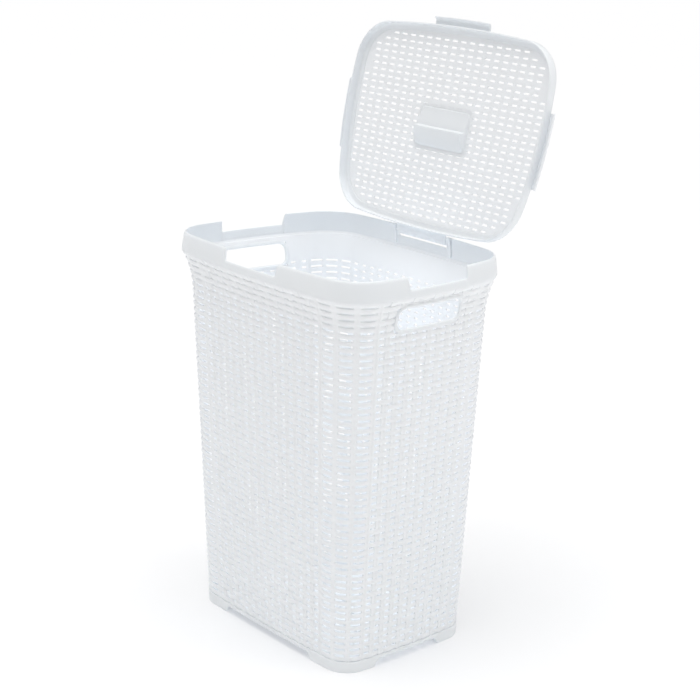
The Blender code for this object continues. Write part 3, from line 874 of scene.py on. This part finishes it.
def build_lid_sheet():
    """Woven sheet of the lid with its rows of oblong holes, open where the grip sits."""
    along = lid_columns()[None, :]
    level, row, row_offset = [column[:, None] for column in lid_levels()]
    # the first strand runs half a row behind the first holes
    y = FIRST_HOLE_ROW + HOLE_ROW_PITCH / 2 - level + CENTRE_Y + 0 * along
    x = along * lid_narrowing(y)
    column = np.round(along / HOLE_PITCH)
    top = LID_TOP + lid_dome(x, y) + lid_relief(along, row_offset, column, row)
    bottom = LID_TOP + lid_dome(x, y) - SHEET_THICKNESS
    middle_x = (x[:-1, :-1] + x[1:, 1:]) / 2
    middle_y = (y[:-1, :-1] + y[1:, 1:]) / 2
    state = inside_lid(middle_x, middle_y, SHEET_INSET).astype(int)
    open_lid_holes(state, (along[0, :-1] + along[0, 1:]) / 2, (level[:-1, 0] + level[1:, 0]) / 2)
    under_grip = np.abs(middle_x) < GRIP_HALF[0] + 0.001
    under_grip &= np.abs(middle_y - LID_CENTRE_Y - CENTRE_Y) < GRIP_HALF[1] + 0.001
    state[under_grip] = 0
    outer = stacked(x, y, top)
    inner = stacked(x, y, bottom)
    # rows run towards the front, so the two faces change places
    sheet = thick_sheet("lid_sheet", turned_open(inner), turned_open(outer), state)
    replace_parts(sheet, "lid_panel")
    return sheet


def grip_lines():
    """Grid lines of the grip, close together at its edge and at the ledge across its middle."""
    half_x, half_y = GRIP_HALF
    edge_x = np.linspace(-half_x - GRIP_BRIM, -half_x + 0.006, 14)
    edge_y = np.linspace(-half_y - GRIP_BRIM, -half_y + 0.006, 14)
    x = np.concatenate([edge_x, np.linspace(-half_x + 0.010, half_x - 0.010, 24), -edge_x[::-1]])
    y = np.concatenate([edge_y, np.linspace(-half_y + 0.008, -0.004, 8), np.linspace(-0.003, 0.003, 13),
                        np.linspace(0.004, half_y - 0.008, 10), -edge_y[::-1]])
    return np.meshgrid(x, y)


def build_lid_grip():
    """Finger grip: a low ramp in its front half that ends in a ledge over a deeper scoop, with a flat rim."""
    half_x, half_y = GRIP_HALF
    x, y = grip_lines()
    past_x = np.abs(x) - half_x + GRIP_CORNER
    past_y = np.abs(y) - half_y + GRIP_CORNER
    outside = np.hypot(np.clip(past_x, 0, None), np.clip(past_y, 0, None))
    outside = outside + np.minimum(np.maximum(past_x, past_y), 0) - GRIP_CORNER
    inside = smooth_step(-outside / GRIP_WALL)
    front = smooth_step((0.0014 - y) / 0.0028)
    scoop = GRIP_DEPTH * np.cos(0.5 * math.pi * np.clip(y / half_y, 0, 1)) ** 0.8
    ramp = GRIP_STEP * smooth_step(1 + y / half_y)
    depth = inside * mix(scoop, ramp, front)
    place_y = y + LID_CENTRE_Y + CENTRE_Y
    top = LID_TOP + lid_dome(x, place_y) - 0.0004 - depth
    bottom = top - 0.0024 - 0.0009 * (inside > 0.02)
    outer = stacked(x, place_y, top)
    inner = stacked(x, place_y, bottom)
    state = (outside < GRIP_BRIM)[:-1, :-1].astype(int)
    grip = thick_sheet("finger_grip", turned_open(outer), turned_open(inner), state)
    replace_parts(grip, "lid_grip")
    return grip


def build_lip(side):
    """Curved lip that passes out through a notch and hangs outside the band."""
    # distance out from the tub's plain plan at the rim, height
    profile = [(0.0142, 0.5808), (0.0147, 0.5812), (0.0149, 0.5822), (0.0147, 0.5838), (0.0140, 0.5855),
               (0.0128, 0.5869), (0.0112, 0.5880), (0.0094, 0.5888), (0.0034, 0.5896), (0.0004, 0.5898),
               (0.0004, 0.5877), (0.0034, 0.5875), (0.0088, 0.5868), (0.0102, 0.5862), (0.0114, 0.5852),
               (0.0124, 0.5838), (0.0128, 0.5824), (0.0132, 0.5812)]
    half_run = (TOP_HALF[1] if side in ("left", "right") else TOP_HALF[0]) - TOP_CORNER
    reach = LIP_HALF[side] / half_run
    end = np.linspace(1 - 2 * LIP_BEND / LIP_HALF[side], 1, 10)
    share = np.concatenate([-end[::-1], np.linspace(-0.8, 0.8, 17), end])
    from_end = (1 - np.abs(share)) * LIP_HALF[side]
    bent = np.clip(LIP_BEND - from_end, 0, LIP_BEND)
    raised = LIP_BEND - np.sqrt(np.clip(LIP_BEND ** 2 - bent ** 2, 0, None))
    sections = []
    for offset, z in profile:
        x, y = on_outline((*TOP_HALF, TOP_CORNER, TOP_BOW), side, share * reach, offset)
        drop = np.clip((0.5870 - z) / 0.0060, 0, 1)
        sections.append(stacked(x, y, z + raised * drop))
    lip = swept_band("lip_tab_" + side, turned_open(np.stack(sections, axis=1)), closed=False)
    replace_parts(lip, "lip_" + side)
    return lip


def build_hinge_flap():
    """Flap between the lid's back edge and its pins."""
    # distance behind the tub's centre line, height
    profile = [(0.1470, 0.5868), (0.1529, 0.5876), (0.1560, 0.5877), (0.1590, 0.5882), (0.1620, 0.5891),
               (0.1645, 0.5905), (0.1662, 0.5922), (0.1672, 0.5940), (0.1672, 0.5953), (0.1666, 0.5958),
               (0.1640, 0.5958), (0.1612, 0.5956), (0.1590, 0.5945), (0.1565, 0.5916), (0.1548, 0.5904),
               (0.1529, 0.5900), (0.1470, 0.5898)]
    x = np.concatenate([[-FLAP_HALF, -FLAP_HALF + 0.0006], np.linspace(-0.055, 0.055, 23),
                        [FLAP_HALF - 0.0006, FLAP_HALF]])
    sections = np.stack([stacked(x, y + CENTRE_Y, z) for y, z in profile], axis=1)
    flap = swept_band("hinge_plate", turned_open(sections), closed=False)
    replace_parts(flap, "hinge_flap")
    return flap


# ---- looks
def add_noise(tree, scale, detail):
    """Noise texture, fixed to the object."""
    nodes, links = tree.nodes, tree.links
    place = nodes.new("ShaderNodeTexCoord")
    noise = nodes.new("ShaderNodeTexNoise")
    noise.inputs["Scale"].default_value = scale
    noise.inputs["Detail"].default_value = detail
    links.new(place.outputs["Object"], noise.inputs["Vector"])
    return noise.outputs["Fac"]


def add_cloudiness(tree, painted_shade_scale):
    """Base colour that varies faintly over a hand's width, scaled by a factor that darkens it as painted
    shade.
    """
    nodes, links = tree.nodes, tree.links
    colours = nodes.new("ShaderNodeValToRGB")
    ends = ((0.30, DULL_WHITE), (0.70, CLEAR_WHITE))
    for element, (position, colour) in zip(colours.color_ramp.elements, ends):
        element.position = position
        # painted shade: both colours are scaled down by the given factor
        element.color = (*(part * painted_shade_scale for part in colour), 1)
    links.new(add_noise(tree, 7.0, 4.0), colours.inputs["Fac"])
    links.new(colours.outputs["Color"], nodes["Principled BSDF"].inputs["Base Color"])


def add_sheen(tree):
    """Roughness that varies a little."""
    nodes, links = tree.nodes, tree.links
    roughness = nodes.new("ShaderNodeMapRange")
    roughness.inputs["To Min"].default_value = 0.38
    roughness.inputs["To Max"].default_value = 0.50
    links.new(add_noise(tree, 60.0, 3.0), roughness.inputs["Value"])
    links.new(roughness.outputs["Result"], nodes["Principled BSDF"].inputs["Roughness"])


def add_grain(tree, grain):
    """Fine moulded grain."""
    nodes, links = tree.nodes, tree.links
    bump = nodes.new("ShaderNodeBump")
    bump.inputs["Strength"].default_value = 0.25 * grain
    bump.inputs["Distance"].default_value = 0.00008
    links.new(add_noise(tree, 1400.0, 2.0), bump.inputs["Height"])
    links.new(bump.outputs["Normal"], nodes["Principled BSDF"].inputs["Normal"])


def white_plastic(name, grain=1.0, painted_shade_scale=1.0):
    """Moulded polypropylene: satin grain, faint cloudiness, and some light passing just under the skin; a
    factor below 1 darkens its colour as painted shade.
    """
    material = bpy.data.materials.new(name)
    material.use_nodes = True
    tree = material.node_tree
    add_cloudiness(tree, painted_shade_scale)
    add_sheen(tree)
    add_grain(tree, grain)
    shader = tree.nodes["Principled BSDF"]
    shader.inputs["IOR"].default_value = 1.49
    shader.inputs["Specular IOR Level"].default_value = 0.4
    shader.inputs["Subsurface Weight"].default_value = 0.5
    shader.inputs["Subsurface Radius"].default_value = (1.0, 1.0, 1.0)
    shader.inputs["Subsurface Scale"].default_value = 0.0016
    return material


def white_paper():
    """Pale ground that gives off a little light of its own, so that it stays white far away."""
    paper = bpy.data.materials.new("paper")
    paper.use_nodes = True
    shader = paper.node_tree.nodes["Principled BSDF"]
    shader.inputs["Base Color"].default_value = (0.86, 0.86, 0.865, 1)
    shader.inputs["Roughness"].default_value = 0.9
    shader.inputs["Specular IOR Level"].default_value = 0.1
    shader.inputs["Emission Color"].default_value = (1, 1, 1, 1)
    shader.inputs["Emission Strength"].default_value = GROUND_GLOW
    return paper


def finish_piece(piece, body, material):
    """Say which body a piece moves with, and give it its material."""
    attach(piece, body)
    piece.data.materials.clear()
    piece.data.materials.append(material)


def build_object():
    """All pieces; the hinge's bosses and pins stay as the CAD has them."""
    woven = white_plastic("woven_plastic")
    # painted shade: the smooth plastic is coloured 4% darker than the woven plastic, so that the smooth bands
    # look as shaded as the weave
    smooth = white_plastic("smooth_plastic", grain=0.7, painted_shade_scale=0.96)
    for piece in build_weave():
        finish_piece(piece, "basket", woven)
    for side in ("left", "right"):
        finish_piece(build_hand_hole_border(side), "basket", smooth)
    finish_piece(build_rim(), "basket", smooth)
    finish_piece(build_base(), "basket", smooth)
    for corner in STRETCHES[1::2]:
        finish_piece(build_foot(corner), "basket", smooth)
    finish_piece(build_floor(), "basket", smooth)
    finish_piece(build_lid_frame(), "lid", smooth)
    finish_piece(build_lid_sheet(), "lid", woven)
    finish_piece(build_lid_grip(), "lid", smooth)
    for side in LIP_HALF:
        finish_piece(build_lip(side), "lid", smooth)
    finish_piece(build_hinge_flap(), "lid", smooth)
    for name in ("hinge_boss_left", "hinge_boss_right", "hinge_pin_left", "hinge_pin_right"):
        for place in frame["nodes"][name].material_slots:
            place.material = smooth


# ---- studio
def build_camera():
    """Camera at the place the photograph was taken from."""
    camera = bpy.data.objects.new("camera", bpy.data.cameras.new("camera"))
    camera.data.lens = CAMERA_LENS
    camera.data.sensor_width = 36.0
    ahead = Vector((math.sin(CAMERA_YAW) * math.cos(CAMERA_PITCH),
                    math.cos(CAMERA_YAW) * math.cos(CAMERA_PITCH),
                    math.sin(CAMERA_PITCH)))
    right = Vector((math.cos(CAMERA_YAW), -math.sin(CAMERA_YAW), 0))
    above = right.cross(ahead)
    turned_right = right * math.cos(CAMERA_ROLL) + above * math.sin(CAMERA_ROLL)
    turned_up = above * math.cos(CAMERA_ROLL) - right * math.sin(CAMERA_ROLL)
    turn = Matrix((turned_right, turned_up, -ahead)).transposed().to_4x4()
    camera.matrix_world = Matrix.Translation(CAMERA_PLACE) @ turn
    bpy.context.scene.collection.objects.link(camera)
    bpy.context.scene.camera = camera


def add_lamp(name, kind, power):
    """New lamp of one kind, linked into the scene."""
    light = bpy.data.lights.new(name, kind)
    light.energy = power
    lamp = bpy.data.objects.new(name, light)
    bpy.context.scene.collection.objects.link(lamp)
    return lamp


def point_along(lamp, direction):
    """Turn a lamp so that it shines along a direction."""
    lamp.rotation_euler = Vector(direction).to_track_quat("-Z", "Y").to_euler()


def build_lights():
    """A wide soft light from above, a small one inside the basket, and a weak one at the right."""
    top = add_lamp("top", "SUN", 1.98)
    top.data.angle = math.radians(60)
    point_along(top, (0.0, 0.12, -1.0))
    inside = add_lamp("inside", "POINT", 0.17)
    inside.data.shadow_soft_size = 0.045
    inside.location = (0.0, -0.03, 0.52)
    inside.visible_camera = False
    key = add_lamp("key", "AREA", 11)
    key.data.shape = "DISK"
    key.data.size = 1.6
    key.location = (2.4, 1.8, 1.9)
    point_along(key, Vector((0, 0, 0.4)) - key.location)


def build_ground():
    """Plain pale ground, wide enough that no edge or horizon shows."""
    mesh = bpy.data.meshes.new("ground")
    corners = [(x * GROUND_REACH, y * GROUND_REACH, 0) for x, y in ((-1, -1), (1, -1), (1, 1), (-1, 1))]
    mesh.from_pydata(corners, [], [(0, 1, 2, 3)])
    mesh.materials.append(white_paper())
    ground = bpy.data.objects.new("ground", mesh)
    bpy.context.scene.collection.objects.link(ground)


def build_studio():
    """Even pale surroundings, and enough light bounces for a white basket."""
    scene = bpy.context.scene
    scene.view_settings.view_transform = "Standard"
    scene.cycles.max_bounces = LIGHT_BOUNCES
    scene.cycles.diffuse_bounces = DIFFUSE_BOUNCES
    scene.world = bpy.data.worlds.new("studio")
    scene.world.use_nodes = True
    background = scene.world.node_tree.nodes["Background"]
    background.inputs["Color"].default_value = (1, 1, 1, 1)
    background.inputs["Strength"].default_value = WORLD_STRENGTH
    build_lights()
    build_ground()


build_object()
build_studio()
build_camera()
